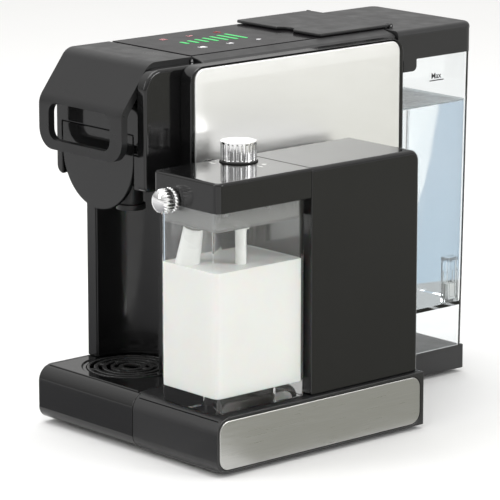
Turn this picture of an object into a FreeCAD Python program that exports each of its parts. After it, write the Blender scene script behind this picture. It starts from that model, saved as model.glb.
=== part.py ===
import FreeCAD, Part
import Sketcher
import math
import os

# A pod coffee machine with a milk unit at its right side and a clear water tank at its back.
# Millimetres, +Z up, front towards -Y. Every piece is drawn from the middle of the base's width (X),
# the base's front face (Y) and the floor (Z); its placement then carries it to the middle of the
# footprint, which is the machine's origin.

os.makedirs("parts", exist_ok=True)
doc = FreeCAD.newDocument("pod_coffee_machine")
sheet = doc.addObject("Spreadsheet::Sheet", "Sizes")

SIZES = {
    # overall and base
    "base_width": 200.0,
    "base_depth": 200.0,
    "base_height": 43.0,
    "foot_height": 3.0,
    "tank_back": 338.0,
    "shelf_height": 22.0,
    "front_round": 12.0,
    "wall": 2.6,
    "gap": 0.3,
    "origin_across": -3.0,
    "origin_back": 166.4,
    # drip tray
    "tray_width": 108.2,
    "tray_depth": 102.0,
    "fascia": 8.0,
    "grate_across": 46.5,
    "grate_back": 51.0,
    "grate_radius": 33.2,
    "grate_thick": 2.0,
    "slot_wide": 3.0,
    # main body
    "body_width": 94.5,
    "body_back": 262.0,
    "body_top": 268.2,
    "column_front": 47.0,
    "bay_radius": 34.7,
    "liner": 1.6,
    "head_front": 20.0,
    "head_bottom": 185.0,
    "head_top": 262.0,
    "head_plate": 3.7,
    "side_plate": 8.5,
    "silver_stand": 12.0,
    "cover_top": 276.0,
    "panel_width": 89.0,
    "panel_front": 72.6,
    # lever
    "lever_front": 4.0,
    "lever_bottom": 206.0,
    "lever_bend": 242.0,
    "lever_thick": 5.6,
    "pin_radius": 1.0,
    # pod drawer and brewing parts
    "drawer_left": 6.8,
    "drawer_width": 80.2,
    "drawer_top": 224.0,
    "pod_radius": 15.5,
    "seat_radius": 24.0,
    "piston_radius": 22.0,
    "spout_radius": 9.0,
    # water tank
    "tank_front": 266.0,
    "tank_floor": 54.0,
    "tank_back_low": 336.6,
    "lid_back": 343.2,
    "lid_overhang": 6.0,
    "flap_front": 197.0,
    "flap_thick": 2.3,
    # milk unit
    "milk_left": 26.8,
    "milk_width": 69.4,
    "milk_front": 4.4,
    "milk_seam": 91.5,
    "milk_back": 197.0,
    "milk_top": 207.5,
    "jug_top": 185.8,
    "jug_wall": 2.0,
    "jug_floor": 11.0,
    "knob_radius": 12.9,
    "front_knob_radius": 9.2,
}
for row, (name, number) in enumerate(SIZES.items(), start=1):
    sheet.set(f"A{row}", name)
    sheet.set(f"B{row}", str(number))
    sheet.setAlias(f"B{row}", name)
doc.recompute()


class Length:
    """A size that carries both its number and the sheet expression it comes from."""

    def __init__(self, number, text):
        self.number = number
        self.text = text

    @staticmethod
    def of(other):
        return other if isinstance(other, Length) else Length(float(other), f"({float(other)})")

    def __add__(self, other):
        other = Length.of(other)
        return Length(self.number + other.number, f"({self.text} + {other.text})")

    def __sub__(self, other):
        other = Length.of(other)
        return Length(self.number - other.number, f"({self.text} - {other.text})")

    def __mul__(self, factor):
        return Length(self.number * factor, f"({self.text} * {factor})")

    def __neg__(self):
        return self * -1.0

    def __radd__(self, other):
        return Length.of(other) + self

    def __rsub__(self, other):
        return Length.of(other) - self

    __rmul__ = __mul__


class Sizes:
    """The sheet's cells, read by name."""

    def __getattr__(self, name):
        return Length(SIZES[name], f"Sizes.{name}")


s = Sizes()
number_of = {"count": 0}


def fresh(kind, hint):
    number_of["count"] += 1
    return doc.addObject(kind, f"{hint}_{number_of['count']}")


def bind(piece, **links):
    """Tie each named property of a piece to a size; an underscore pair stands for a dot."""
    for key, length in links.items():
        piece.setExpression(key.replace("__", "."), Length.of(length).text)
    return piece


def box(low, high):
    """A block between two corners."""
    low = [Length.of(each) for each in low]
    high = [Length.of(each) for each in high]
    block = fresh("Part::Box", "block")
    bind(block, Length=high[0] - low[0], Width=high[1] - low[1], Height=high[2] - low[2])
    return bind(block, Placement__Base__x=low[0], Placement__Base__y=low[1], Placement__Base__z=low[2])


TURN = {
    "x": FreeCAD.Rotation(FreeCAD.Vector(0, 1, 0), 90),
    "y": FreeCAD.Rotation(FreeCAD.Vector(1, 0, 0), -90),
    "z": FreeCAD.Rotation(),
}


def rod(along, start, radius, length, end_radius=None):
    """A round bar or, with a second radius, a cone, from its start point along one axis."""
    kind = "Part::Cylinder" if end_radius is None else "Part::Cone"
    bar = fresh(kind, "bar")
    bar.Placement.Rotation = TURN[along]
    if end_radius is None:
        bind(bar, Radius=radius)
    else:
        bind(bar, Radius1=radius, Radius2=end_radius)
    bind(bar, Height=length)
    x, y, z = start
    return bind(bar, Placement__Base__x=x, Placement__Base__y=y, Placement__Base__z=z)


def joined(*pieces):
    whole = fresh("Part::MultiFuse", "joined")
    whole.Shapes = list(pieces)
    whole.Refine = True
    return whole


def less(base, *tools):
    """The base with every tool cut out of it."""
    result = fresh("Part::Cut", "cut")
    result.Base = base
    result.Tool = tools[0] if len(tools) == 1 else joined(*tools)
    result.Refine = True
    return result


def common(first, second):
    result = fresh("Part::Common", "common")
    result.Base = first
    result.Tool = second
    return result


def picked(shape, along, test):
    """Numbers of the straight edges along one axis whose middle passes the test."""
    axis = {"x": 0, "y": 1, "z": 2}[along]
    limits = shape.BoundBox
    found = []
    for index, edge in enumerate(shape.Edges, start=1):
        if len(edge.Vertexes) != 2 or not isinstance(edge.Curve, (Part.Line, Part.LineSegment)):
            continue
        run = edge.Vertexes[1].Point - edge.Vertexes[0].Point
        if abs(run[axis]) > 0.999 * run.Length and test(edge.CenterOfMass, limits):
            found.append(index)
    return found


def rounded(base, radius, along, test=lambda middle, limits: True):
    """The base with the picked edges rounded."""
    doc.recompute()
    result = fresh("Part::Fillet", "rounded")
    result.Base = base
    result.Edges = [(index, radius, radius) for index in picked(base.Shape, along, test)]
    return result


PLANE_SIGN = {"XY": 1, "XZ": -1, "YZ": 1}


def outlined(hint, plane, points, start, depth, rounds=None):
    """A PartDesign body: a closed outline padded along the plane's axis, some corners rounded.

    rounds maps a corner's number to its radius."""
    body = fresh("PartDesign::Body", hint)
    sketch = body.newObject("Sketcher::SketchObject", f"{body.Name}_outline")
    support = [each for each in body.Origin.OriginFeatures if each.Role == f"{plane}_Plane"]
    sketch.AttachmentSupport = (support[0], [""])
    sketch.MapMode = "FlatFace"
    sign = PLANE_SIGN[plane]
    sketch.setExpression("AttachmentOffset.Base.z", (Length.of(start) * sign).text)
    corners = [(Length.of(u), Length.of(v)) for u, v in points]
    spots = [FreeCAD.Vector(u.number, v.number, 0) for u, v in corners]
    total = len(corners)
    for index in range(total):
        sketch.addGeometry(Part.LineSegment(spots[index], spots[(index + 1) % total]), False)
    for index in range(total):
        sketch.addConstraint(Sketcher.Constraint("Coincident", index, 2, (index + 1) % total, 1))
    for index, (u, v) in enumerate(corners):
        for axis, length in (("X", u), ("Y", v)):
            name = f"corner_{index}_{axis}"
            made = sketch.addConstraint(
                Sketcher.Constraint(f"Distance{axis}", -1, 1, index, 1, length.number)
            )
            sketch.renameConstraint(made, name)
            sketch.setExpression(f"Constraints.{name}", length.text)
    pad = body.newObject("PartDesign::Pad", f"{body.Name}_pad")
    pad.Profile = sketch
    pad.Reversed = sign < 0
    pad.setExpression("Length", Length.of(depth).text)
    doc.recompute()
    last = pad
    for radius in sorted(set((rounds or {}).values())):
        wanted = [spots[index] for index, each in rounds.items() if each == radius]
        along = {"XY": "z", "XZ": "y", "YZ": "x"}[plane]
        pair = {"XY": (0, 1), "XZ": (0, 2), "YZ": (1, 2)}[plane]

        def at_corner(middle, limits):
            flat = FreeCAD.Vector(middle[pair[0]], middle[pair[1]], 0)
            return any((flat - spot).Length < 0.01 for spot in wanted)

        names = [f"Edge{index}" for index in picked(last.Shape, along, at_corner)]
        fillet = body.newObject("PartDesign::Fillet", f"{body.Name}_round")
        fillet.Base = (last, names)
        fillet.Radius = radius
        doc.recompute()
        last = fillet
    return body


NODES = {}


def node(label, piece, place=(0, 0, 0)):
    """Name a finished piece and carry it to the machine's origin."""
    if piece.TypeId in ("Part::Box", "Part::Cylinder"):
        carrier = fresh("Part::Compound", "carrier")
        carrier.Links = [piece]
        piece = carrier
    piece.Label = label
    x, y, z = place
    bind(piece, Placement__Base__x=x - s.origin_across, Placement__Base__y=y - s.origin_back,
         Placement__Base__z=Length.of(z))
    NODES[label] = piece


# ---------------------------------------------------------------- shared places
left = -s.base_width * 0.5
right = s.base_width * 0.5
body_right = left + s.body_width
plate_out = body_right + s.side_plate + 0.2
silver_out = plate_out + s.silver_stand
tray_right = left + s.tray_width
grate_x = left + s.grate_across
grate_y = s.grate_back
base_top = s.base_height

# ---------------------------------------------------------------- base
# Moulded base: a bay for the drip tray at the left, the milk unit's floor at the right and a low
# shelf at the back for the water tank.
front_slab = outlined(
    "base_block", "YZ",
    [(0, s.foot_height), (0, base_top), (s.base_depth, base_top), (s.base_depth, s.foot_height)],
    left, s.base_width, {0: 9.0, 1: 12.0},
)
rear_block = box((left, s.base_depth - 1, s.foot_height), (plate_out, s.body_back, base_top))
rear_shelf = box((left, s.body_back - 1, s.foot_height), (plate_out, s.tank_back, s.shelf_height))
tray_bay = box((left + s.wall, -1, 7.5), (tray_right - s.wall, s.tray_depth + 2, base_top + 1))
fascia_gap = box((left - 1, -1, 0), (tray_right + 0.2, s.fascia + 0.3, base_top + 1))
right_hollow = box(
    (tray_right + 2.4, 4, 0), (right - 3.4, s.base_depth - 3, base_top - 3)
)
rear_hollow = box(
    (left + 3, s.tray_depth + 5, 0), (tray_right + 3, s.base_depth - 3, base_top - 3)
)
back_hollow = box(
    (left + 3, s.base_depth - 4, 0), (plate_out - 3, s.body_back - 3, base_top - 3)
)
shelf_hollow = box(
    (left + 3, s.body_back - 4, 0), (plate_out - 3, s.tank_back - 3, s.shelf_height - 3)
)
panel_recess = rounded(
    box((right - 1.4, 2.2, 4.6), (right + 1, 196.5, base_top - 2.4)), 9.0, "x"
)
node("base_housing", less(
    joined(front_slab, rear_block, rear_shelf),
    tray_bay, fascia_gap, right_hollow, rear_hollow, back_hollow, shelf_hollow, panel_recess,
))

node("side_steel_panel", rounded(
    box((right - 1.3, 2.5, 4.9), (right, 196.2, base_top - 2.7)), 8.7, "x"
))

node("base_bottom_plate", joined(
    box((tray_right + 2.7, 4.3, s.foot_height), (right - 3.7, s.base_depth - 3.3, 4.8)),
    box((left + 3.3, s.tray_depth + 5.3, s.foot_height), (tray_right + 3, s.base_depth - 3.3, 4.8)),
    box((left + 3.3, s.base_depth - 4, s.foot_height), (plate_out - 3.3, s.tank_back - 3.3, 4.8)),
))

foot_places = [
    (left + 16, Length.of(22)), (right - 16, Length.of(22)), (right - 16, s.base_depth - 16),
    (left + 16, s.tank_back - 16), (plate_out - 16, s.tank_back - 16),
]
feet = fresh("Part::Compound", "feet")
feet.Links = [rod("z", (x, y, 0), 8.0, s.foot_height - 0.02) for x, y in foot_places]
node("rubber_feet", feet)

screws = fresh("Part::Compound", "screws")
screw_places = [
    (right - 12, Length.of(50)), (right - 12, s.base_depth - 40), (left + 14, s.tray_depth + 16),
    (left + 14, s.tank_back - 40), (plate_out - 14, s.tank_back - 40),
]
screws.Links = [
    less(rod("z", (x, y, 1.2), 3.2, s.foot_height - 1.22), rod("z", (x, y, 0.8), 1.2, 1.6))
    for x, y in screw_places
]
node("bottom_screws", screws)

# ---------------------------------------------------------------- drip tray
tray_nose = outlined(
    "tray_front", "YZ",
    [(0, s.foot_height), (0, base_top), (30, base_top), (30, s.foot_height)],
    left, s.tray_width, {0: 9.0, 1: 12.0},
)
node("drip_tray_front", common(
    tray_nose, box((left - 1, -1, 0), (right, s.fascia, base_top + 1))
))

tub_low = (left + s.wall + 0.4, s.fascia + 0.02, Length.of(7.9))
tub_high = (tray_right - s.wall - 0.4, s.tray_depth, base_top - 2.8)
node("drip_tray_tub", less(
    box(tub_low, tub_high),
    box([each + 2 for each in tub_low], (tub_high[0] - 2, tub_high[1] - 2, base_top)),
))

deck_low = (tub_low[0], s.fascia + 0.02, base_top - 2.78)
deck = box(deck_low, (tub_high[0], s.tray_depth, base_top))
grate_hole = rod("z", (grate_x, grate_y, base_top - 4), s.grate_radius - 2, 6)
grate_step = rod("z", (grate_x, grate_y, base_top - 2.32), s.grate_radius + 0.3, 4)
deck_dish = rod("z", (grate_x, grate_y, base_top - 0.9), s.grate_radius + 3.6, 4)
node("drip_deck", less(deck, grate_hole, grate_step, deck_dish))

# Round grate: rings of curved slots round a dark middle hole, thin bridges between the slots.
grate_low = base_top - 2.3


def spoke(turn):
    """A bar from the grate's middle outwards, where the rings of slots are bridged."""
    bar = fresh("Part::Box", "spoke")
    bind(bar, Length=s.grate_radius - 1, Width=4.4, Height=12)
    bar.Placement.Rotation = FreeCAD.Rotation(FreeCAD.Vector(0, 0, 1), turn)
    aside = (2.2 * math.sin(math.radians(turn)), -2.2 * math.cos(math.radians(turn)))
    return bind(bar, Placement__Base__x=grate_x + aside[0], Placement__Base__y=grate_y + aside[1],
                Placement__Base__z=grate_low - 3)


slots = []
for order, middle_radius in enumerate((11.5, 17.5, 23.5, 29.5)):
    outer = rod("z", (grate_x, grate_y, grate_low - 1), s.slot_wide * 0.5 + middle_radius, 6)
    inner = rod("z", (grate_x, grate_y, grate_low - 2), middle_radius - s.slot_wide * 0.5, 8)
    slots.append(less(outer, inner, *[spoke(turn + 35 * order) for turn in (20, 140, 260)]))
node("drip_grate", less(
    rod("z", (grate_x, grate_y, grate_low), s.grate_radius, s.grate_thick),
    rod("z", (grate_x, grate_y, grate_low - 1), 6.5, 6), *slots,
))

# ---------------------------------------------------------------- main body
head_low = s.head_bottom
body_outside = outlined(
    "body_outside", "YZ",
    [(s.head_front + 4, head_low), (s.head_front + 4, s.head_top - 15), (s.head_front + 14, s.head_top),
     (s.panel_front - 0.3, s.head_top), (s.panel_front - 0.3, s.body_top), (s.body_back, s.body_top),
     (s.body_back, base_top + 0.3), (s.column_front, base_top + 0.3), (s.column_front, head_low)],
    left, s.body_width,
)
bay_back = grate_y + s.bay_radius + s.liner + 0.2
body_inside = outlined(
    "body_inside", "YZ",
    [(s.head_front + 6.5, head_low + 2.5), (s.head_front + 6.5, s.head_top - 15.7),
     (s.head_front + 15.2, s.head_top - 2.6), (s.panel_front + 2.3, s.head_top - 2.6),
     (s.panel_front + 2.3, s.body_top - 2.6), (s.body_back - 2.6, s.body_top - 2.6),
     (s.body_back - 2.6, base_top + 2.9), (bay_back + 2.8, base_top + 2.9),
     (bay_back + 2.8, head_low + 2.5)],
    left + s.wall, s.body_width,
)
bay_cut = rod(
    "z", (grate_x, grate_y, base_top - 1), s.bay_radius + s.liner + 0.2, head_low - base_top + 1
)
drawer_left = left + s.drawer_left
drawer_right = drawer_left + s.drawer_width
drawer_gate = box(
    (drawer_left - 0.6, s.head_front - 1, head_low - 1),
    (drawer_right + 0.6, s.head_front + 8, s.drawer_top + 1),
)
spout_hole = rod("z", (grate_x, grate_y, head_low - 2), s.spout_radius + 0.2, 8)
pivot_y = s.panel_front - 0.8 - s.lever_thick * 0.5
pivot_z = s.cover_top - s.lever_thick * 0.5


ear_radius = s.pin_radius + 0.9


def hinge_ear(start):
    """A rounded lug under one end of the lever, standing on the head's roof."""
    round_top = rod("x", (start, pivot_y, pivot_z), ear_radius, 2.6)
    post = box((start, pivot_y - ear_radius, s.head_top - 1),
               (start + 2.6, pivot_y + ear_radius, pivot_z))
    return joined(round_top, post)


pin_bore = rod("x", (left - 1, pivot_y, pivot_z), s.pin_radius, s.body_width + 2)
node("body_shell", less(
    joined(less(body_outside, body_inside, bay_cut), hinge_ear(left), hinge_ear(body_right - 2.6)),
    drawer_gate, spout_hole, pin_bore,
))

liner_low = base_top + 0.4
node("cup_bay_liner", less(
    rod("z", (grate_x, grate_y, liner_low), s.bay_radius + s.liner, head_low - base_top - 0.7),
    rod("z", (grate_x, grate_y, liner_low - 1), s.bay_radius, head_low),
    box((left, grate_y - 60, 0), (right, s.column_front + 0.2, head_low + 5)),
))

plate_outline = outlined(
    "side_plate", "YZ",
    [(s.head_front - 2, head_low), (s.head_front - 2, s.cover_top - 4),
     (s.panel_front - 0.3, s.cover_top - 4),
     (s.panel_front - 0.3, s.body_top), (s.body_back, s.body_top), (s.body_back, base_top + 0.3),
     (s.column_front, base_top + 0.3), (s.column_front, head_low)],
    body_right + 0.2, s.side_plate, {0: 4.0, 1: 15.0},
)
node("side_plate", rounded(
    plate_outline, 2.4, "z",
    lambda middle, limits: middle.x > limits.XMax - 0.1 and middle.y < limits.YMin + 0.1,
))

frame_block = rounded(
    box((plate_out + 0.1, 50, base_top + 7),
        (silver_out - 0.2, s.body_back - 3.5, s.cover_top - 3.5)),
    11.0, "x",
)
frame_recess = rounded(
    box((plate_out + 9, 53.6, base_top + 10.6),
        (silver_out + 1, s.body_back - 6.6, s.cover_top - 4.3)),
    9.0, "x",
)
node("side_panel_frame", less(frame_block, frame_recess))
node("side_silver_panel", rounded(rounded(
    box((plate_out + 9.2, 54, base_top + 11), (silver_out, s.body_back - 7, s.cover_top - 4.7)), 8.6, "x"
), 1.2, "y", lambda middle, limits: middle.x > limits.XMax - 0.1))

node("top_cover", outlined(
    "top_cover", "XZ",
    [(left, s.body_top + 0.1), (plate_out, s.body_top + 0.1), (plate_out, s.cover_top - 4.2),
     (plate_out - 3, s.cover_top - 2.6), (left + s.panel_width + 0.3, s.cover_top - 0.2),
     (left + s.panel_width + 0.3, s.cover_top - 3.2), (left, s.cover_top - 3.2)],
    s.panel_front, s.body_back - s.panel_front,
))
node("touch_panel", box(
    (left + 0.1, s.panel_front, s.cover_top - 3.1), (left + s.panel_width, s.body_back, s.cover_top)
))

strengths = fresh("Part::Compound", "strengths")
strengths.Links = [
    box((left + 43 - 5 - order * 1.3, s.panel_front + 31 + order * 8.3, s.cover_top + 0.02),
        (left + 43 + 5 + order * 1.3, s.panel_front + 35.2 + order * 8.3, s.cover_top + 0.2))
    for order in range(7)
]
node("strength_lights", strengths)
icons = fresh("Part::Compound", "icons")
icons.Links = [
    rod("z", (left + across, s.panel_front + back, s.cover_top + 0.02), 3.6, 0.18)
    for across in (20.5, 66.0) for back in (31.5, 58.0, 85.5)
]
node("touch_icons", icons)
node("touch_board", box(
    (left + 8, s.panel_front + 14, s.body_top - 8), (left + 82, s.panel_front + 106, s.body_top - 6.4)
))

# ---------------------------------------------------------------- head, lever and pod drawer
plate_low = s.head_front
plate_block = rounded(rounded(
    box((left, plate_low, head_low), (body_right, plate_low + s.head_plate, s.head_top - 16)),
    8.0, "y", lambda middle, limits: middle.z > limits.ZMax - 0.1,
), 6.0, "y", lambda middle, limits: middle.z < limits.ZMin + 0.1 and middle.x < limits.XMin + 0.1)
plate_gate = box(
    (drawer_left - 0.4, plate_low - 1, head_low - 1),
    (drawer_right + 0.4, plate_low + 6, s.drawer_top + 0.4),
)
plate_groove = box(
    (drawer_right, plate_low - 1, head_low + 26.4), (body_right + 1, plate_low + 2.2, head_low + 32.2)
)
node("head_front_plate", less(plate_block, plate_gate, plate_groove))

bowl_radius = s.drawer_width * 0.5
bowl_z = s.drawer_top - 19
bowl_half = common(
    rod("y", (drawer_left + bowl_radius, plate_low, bowl_z), bowl_radius, 3.4),
    box((drawer_left - 1, plate_low - 1, bowl_z - bowl_radius - 1),
        (drawer_right + 1, plate_low + 5, bowl_z + 1)),
)
node("pod_drawer_front", joined(
    box((drawer_left, plate_low, bowl_z), (drawer_right, plate_low + 3.4, s.drawer_top)), bowl_half,
))
carriage_low = head_low + 2.8
node("pod_drawer", less(
    box((drawer_left + 5, plate_low + 3.4, carriage_low),
        (drawer_right - 5, grate_y + 41, s.drawer_top - 3)),
    rod("z", (grate_x, grate_y, carriage_low + 8), s.seat_radius, 60),
    rod("z", (grate_x, grate_y, carriage_low - 1), 4.5, 30),
))
node("pod_adaptor", less(
    rod("z", (grate_x, grate_y, carriage_low + 8), s.seat_radius - 0.1,
        s.drawer_top - carriage_low - 11.2),
    rod("z", (grate_x, grate_y, carriage_low + 11), s.pod_radius - 3, 22.4, s.pod_radius + 2.5),
    rod("z", (grate_x, grate_y, carriage_low), 3.0, 20),
))
node("brew_block", less(
    box((grate_x - 30, grate_y - 22.5, s.drawer_top + 2), (grate_x + 30, grate_y + 30, s.head_top - 17)),
    rod("z", (grate_x, grate_y, s.drawer_top), s.piston_radius + 0.08, 60),
))
node("brew_piston", less(
    rod("z", (grate_x, grate_y, s.drawer_top), s.piston_radius, 17),
    rod("z", (grate_x, grate_y, s.drawer_top + 6), 3.0, 30),
    less(rod("z", (grate_x, grate_y, s.drawer_top + 10), s.piston_radius + 1, 2.4),
         rod("z", (grate_x, grate_y, s.drawer_top + 9), s.piston_radius - 2, 6)),
))
node("piston_seal", less(
    rod("z", (grate_x, grate_y, s.drawer_top + 10.1), s.piston_radius + 0.04, 2.2),
    rod("z", (grate_x, grate_y, s.drawer_top + 9), s.piston_radius - 1.98, 6),
))
node("shower_plate", less(
    rod("z", (grate_x, grate_y, s.drawer_top - 2), 15.0, 1.98),
    *[rod("z", (grate_x + 8 * math.cos(turn), grate_y + 8 * math.sin(turn), s.drawer_top - 4), 1.0, 6)
      for turn in [step * math.pi / 3 for step in range(6)]],
))
node("coffee_spout", less(
    joined(
        rod("z", (grate_x, grate_y, head_low - 20), s.spout_radius, 22.4),
        rod("z", (grate_x, grate_y, head_low - 24), s.spout_radius + 1.8, 4.2),
        rod("z", (grate_x, grate_y, head_low - 3), s.spout_radius + 3, 2.8),
    ),
    rod("z", (grate_x, grate_y, head_low - 26), 6.0, 18),
    rod("z", (grate_x, grate_y, head_low - 30), 3.2, 50),
))

thick = s.lever_thick
lever_plate = outlined(
    "lever_plate", "YZ",
    [(pivot_y, s.cover_top), (s.lever_front + 26, s.cover_top), (s.lever_front, s.lever_bend),
     (s.lever_front, s.lever_bottom), (s.lever_front + 5.4, s.lever_bottom),
     (s.lever_front + 5.4, s.lever_bend - 2.2), (s.lever_front + 28.8, s.cover_top - thick),
     (pivot_y, s.cover_top - thick)],
    left, s.body_width - 0.7, {1: 12.0, 2: 14.0, 5: 8.6, 6: 6.4},
)
knuckle = rod("x", (left, pivot_y, pivot_z), thick * 0.5, s.body_width - 0.7)
ear_room = []
for start in (left - 1, body_right - 2.9):
    ear_room.append(rod("x", (start, pivot_y, pivot_z), ear_radius + 0.2, 3.9))
    ear_room.append(box((start, pivot_y - ear_radius - 0.4, s.head_top),
                        (start + 3.9, pivot_y + 9, pivot_z)))
    ear_room.append(box((start, pivot_y, pivot_z - 0.1),
                        (start + 3.9, pivot_y + 9, pivot_z + ear_radius + 0.2)))
finger_slot = rounded(
    box((left + 11, -20, s.lever_bottom + 7), (left + 80.5, 30, s.lever_bottom + 34)), 8.0, "y"
)
lever_blank = rounded(
    joined(lever_plate, knuckle), 15.0, "y",
    lambda middle, limits: middle.z < limits.ZMin + 0.1,
)
node("lever", less(
    lever_blank, finger_slot, *ear_room,
    rod("x", (left - 1, pivot_y, pivot_z), s.pin_radius + 0.05, s.body_width + 2),
))
node("lever_pin", rod("x", (left + 0.1, pivot_y, pivot_z), s.pin_radius, s.body_width - 0.2))

# ---------------------------------------------------------------- inside the body
node("water_pump", joined(
    rod("y", (left + 40, 150, base_top + 36), 19.0, 62),
    rod("y", (left + 40, 138, base_top + 36), 9.0, 12),
    rod("y", (left + 40, 211, base_top + 36), 6.0, 13.9),
))
pump_mounts = fresh("Part::Compound", "pump_mounts")
pump_mounts.Links = [
    less(box((left + 18, back, base_top + 3), (left + 62, back + 7, base_top + 34)),
         rod("y", (left + 40, back - 1, base_top + 36), 19.05, 10))
    for back in (155, 200)
]
node("pump_mounts", pump_mounts)
node("boiler", joined(
    box((left + 14, 118, 150), (left + 78, 176, 186)),
    rod("z", (left + 26, 147, 186), 4.0, 8), rod("z", (left + 66, 147, 186), 4.0, 8),
))
node("flow_meter", joined(
    rod("z", (left + 40, 236, base_top + 26), 11.0, 14),
    box((left + 20, 233, base_top + 30), (left + 60, 239, base_top + 36)),
))
node("water_valve", joined(
    box((left + 18, 196, 150), (left + 40, 218, 176)), rod("z", (left + 29, 207, 176), 8.0, 18),
))
node("power_board", box((left + 84, 108, 60), (left + 86, 232, 140)))
power_parts = fresh("Part::Compound", "power_parts")
power_parts.Links = [
    box((left + 70, 118, 66), (left + 83.98, 140, 88)),
    box((left + 74, 150, 66), (left + 83.98, 166, 80)),
    rod("x", (left + 66, 216, 124), 7.0, 17.98),
    box((left + 72, 180, 112), (left + 83.98, 200, 134)),
]
node("power_parts", power_parts)


def hose(label, points, radius):
    """A round hose along straight runs with rounded joints, reading its places from the sheet."""
    spots = [FreeCAD.Vector(*[Length.of(each).number for each in point]) for point in points]
    shape = None
    for start, end in zip(spots, spots[1:]):
        run = end - start
        piece = Part.makeCylinder(radius, run.Length, start, run)
        shape = piece if shape is None else shape.fuse(piece)
    for spot in spots[1:-1]:
        shape = shape.fuse(Part.makeSphere(radius, spot))
    carrier = fresh("Part::Feature", "hose")
    carrier.Shape = shape.removeSplitter()
    carrier.Placement = FreeCAD.Placement()
    node(label, carrier)


hose("pressure_hose", [
    (left + 40, 137.9, base_top + 36), (left + 40, 128, base_top + 36), (left + 40, 128, 149.9),
], 3.0)
hose("brew_hose", [
    (left + 66, 147, 194.1), (left + 66, 147, 240), (left + 66, grate_y + 30.1, 240),
], 3.0)

# ---------------------------------------------------------------- water tank
tank_left = left - 3
tank_right = plate_out + 0.4
tank_wall = 2.5
tank_low = s.shelf_height + 0.3
tank_top = s.cover_top - 6
lid_top = s.cover_top - 0.6
lid_skirt = s.cover_top - 23.3
tank_lean = 0.0214
tank_back_high = s.tank_back_low + (tank_top - tank_low) * tank_lean


def behind(middle, limits):
    """True for the edges at a piece's back."""
    return middle.y > limits.YMax - 6


def tank_block(inset, low, high, corner):
    """The tank's outline between two heights: its back leans outwards towards the top."""
    front = s.tank_front + inset
    foot = s.tank_back_low - inset + (low - tank_low) * tank_lean
    top = foot + (high - low) * tank_lean
    block = outlined(
        "tank_block", "YZ", [(front, low), (foot, low), (top, high), (front, high)],
        tank_left + inset, tank_right - tank_left - 2 * inset,
    )
    return rounded(block, corner, "z", behind)


tank_shell = rounded(
    tank_block(0, tank_low, tank_top, 4.5), 2.5, "z",
    lambda middle, limits: middle.y < limits.YMin + 0.1,
)
tank_inside = tank_block(tank_wall, s.tank_floor + 3, tank_top + 2, 2.5)
tank_under = tank_block(tank_wall, tank_low - 2, s.tank_floor, 2.5)
valve_x = left + 50
valve_y = s.tank_front + 34
node("water_tank", less(
    tank_shell, tank_inside, tank_under, rod("z", (valve_x, valve_y, s.tank_floor - 1), 6.0, 6),
))
node("tank_valve", less(
    joined(
        rod("z", (valve_x, valve_y, s.tank_floor + 3.1), 10.0, 3),
        rod("z", (valve_x, valve_y, s.tank_floor - 12), 5.9, 16),
    ),
    rod("z", (valve_x, valve_y, s.tank_floor - 14), 2.5, 30),
))
node("tank_seat", less(
    joined(
        rod("z", (valve_x, valve_y, s.shelf_height + 0.05), 15.0, 4),
        rod("z", (valve_x, valve_y, s.shelf_height + 0.05), 10.0, s.tank_floor - s.shelf_height - 8),
    ),
    rod("z", (valve_x, valve_y, s.shelf_height + 4), 7.4, s.tank_floor - s.shelf_height - 2),
))
node("seat_seal", less(
    rod("z", (valve_x, valve_y, s.tank_floor - 11), 7.3, 3),
    rod("z", (valve_x, valve_y, s.tank_floor - 12), 6.0, 6),
))
node("water_filter", less(
    rod("z", (valve_x, valve_y, s.tank_floor + 6.2), 9.0, 12),
    rod("z", (valve_x, valve_y, s.tank_floor + 5), 4.0, 11),
))
float_x = tank_right - 10
float_y = s.tank_back_low - 9.4
node("float_guide", less(
    box((float_x - 5.6, float_y - 5.6, s.tank_floor + 3.1),
        (float_x + 5.6, float_y + 5.6, s.tank_floor + 38)),
    box((float_x - 4.6, float_y - 4.6, s.tank_floor + 5),
        (float_x + 4.6, float_y + 4.6, s.tank_floor + 50)),
    box((float_x - 3, float_y - 9, s.tank_floor + 7), (float_x + 3, float_y + 9, s.tank_floor + 35)),
    box((float_x - 9, float_y - 3, s.tank_floor + 7), (float_x + 9, float_y + 3, s.tank_floor + 35)),
))
node("level_float", rounded(
    box((float_x - 4.3, float_y - 4.3, s.tank_floor + 5.3),
        (float_x + 4.3, float_y + 4.3, s.tank_floor + 17)),
    1.0, "z",
))

lid_low_x = left - s.lid_overhang
lid_high_x = plate_out + 2
lid_block = rounded(rounded(
    box((lid_low_x, s.body_back + 0.6, lid_skirt), (lid_high_x, s.lid_back, lid_top)), 9.0, "z",
    lambda middle, limits: middle.y > limits.YMax - 0.1,
), 4.0, "y", lambda middle, limits: middle.z > limits.ZMax - 0.1)
lid_hollow = rounded(box(
    (tank_left - 0.4, s.tank_front - 0.4, lid_skirt - 1),
    (tank_right + 0.4, tank_back_high + 0.3, tank_top + 0.3),
), 4.5, "z", behind)
lid_tab = rounded(
    box((lid_high_x - 1.3, s.tank_front + 2.5, lid_skirt - 9),
        (lid_high_x, s.tank_front + 16, lid_skirt + 1)),
    4.0, "x", lambda middle, limits: middle.z < limits.ZMin + 0.1 and middle.y > limits.YMax - 0.1,
)
flap_pivot_y = s.body_back + 8.2
flap_pivot_z = s.cover_top + 1.3
lug_radius = 1.6
flap_low_x = left - 4
flap_high_x = left + s.panel_width + 0.4


def lid_ear(start):
    """A small lug on the tank lid that holds one end of the flap's pin."""
    return joined(
        rod("x", (start, flap_pivot_y, flap_pivot_z), lug_radius, 3),
        box((start, flap_pivot_y - lug_radius, lid_top - 1),
            (start + 3, flap_pivot_y + lug_radius, flap_pivot_z)),
    )


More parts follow.
